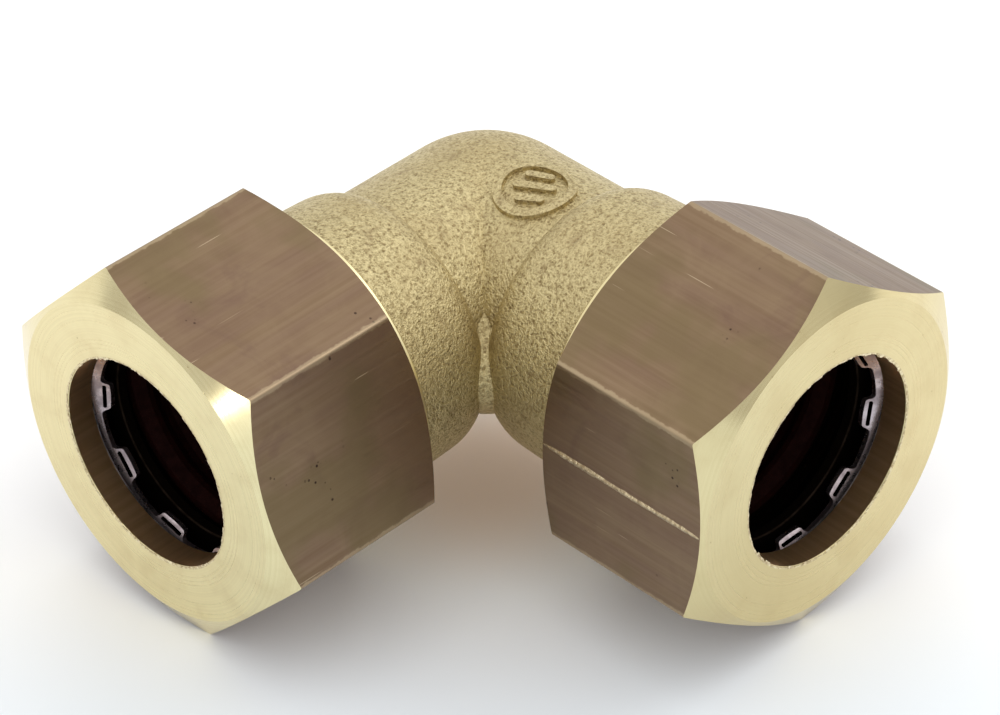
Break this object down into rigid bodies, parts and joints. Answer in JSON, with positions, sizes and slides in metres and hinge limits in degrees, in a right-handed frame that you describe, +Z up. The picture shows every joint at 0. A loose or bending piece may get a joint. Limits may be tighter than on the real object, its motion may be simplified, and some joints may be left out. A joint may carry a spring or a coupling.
{
  "type": "compression elbow fitting",
  "caption": "Right-angle brass compression elbow with loose hexagonal union nuts, toothed stainless grip rings, washers and seals for corrugated pipe.",
  "frame": {"origin": "middle of the footprint, at the height of the surface the fitting rests on", "axes": "+X out of the right nut along its pipe, -Y out of the left nut along its pipe, +Z up, across the plane of the two pipes"},
  "size_m": [0.0566, 0.0538, 0.0345],
  "materials": {
    "blasted_brass": "sand blasted",
    "drawn_brass": "drawn and tarnished flats, machined faces",
    "ring_steel": "pressed",
    "washer_steel": "dull",
    "seal_silicone": "matte"
  },
  "bodies": {
    "body": {"elbow_body": "blasted_brass", "left_seal": "seal_silicone", "right_seal": "seal_silicone"},
    "left_clamp": {"left_grip_ring": "ring_steel", "left_thrust_washer": "washer_steel"},
    "left_nut": {"left_union_nut": "drawn_brass"},
    "right_clamp": {"right_grip_ring": "ring_steel", "right_thrust_washer": "washer_steel"},
    "right_nut": {"right_union_nut": "drawn_brass"}
  },
  "joints": [
    {"name": "left_clamp_slide", "type": "slide", "parent": "body", "child": "left_clamp", "axis": [0, -1, 0], "range_m": [-0.00057, 0.0068]},
    {"name": "left_nut_turn", "type": "hinge", "parent": "left_clamp", "child": "left_nut", "pos_m": [-0.01158, -0.01853, 0.01725], "axis": [0, -1, 0], "range_deg": [-115, 1350]},
    {"name": "right_clamp_slide", "type": "slide", "parent": "body", "child": "right_clamp", "axis": [1, 0, 0], "range_m": [-0.00206, 0.00544]},
    {"name": "right_nut_turn", "type": "hinge", "parent": "right_clamp", "child": "right_nut", "pos_m": [0.01992, 0.01147, 0.01725], "axis": [1, 0, 0], "range_deg": [-410, 1080]}
  ],
  "couplings": [
    {"joint": "left_nut_turn", "follows": "left_clamp_slide", "rad_per_m": 3463.7},
    {"joint": "right_nut_turn", "follows": "right_clamp_slide", "rad_per_m": 3463.7}
  ]
}
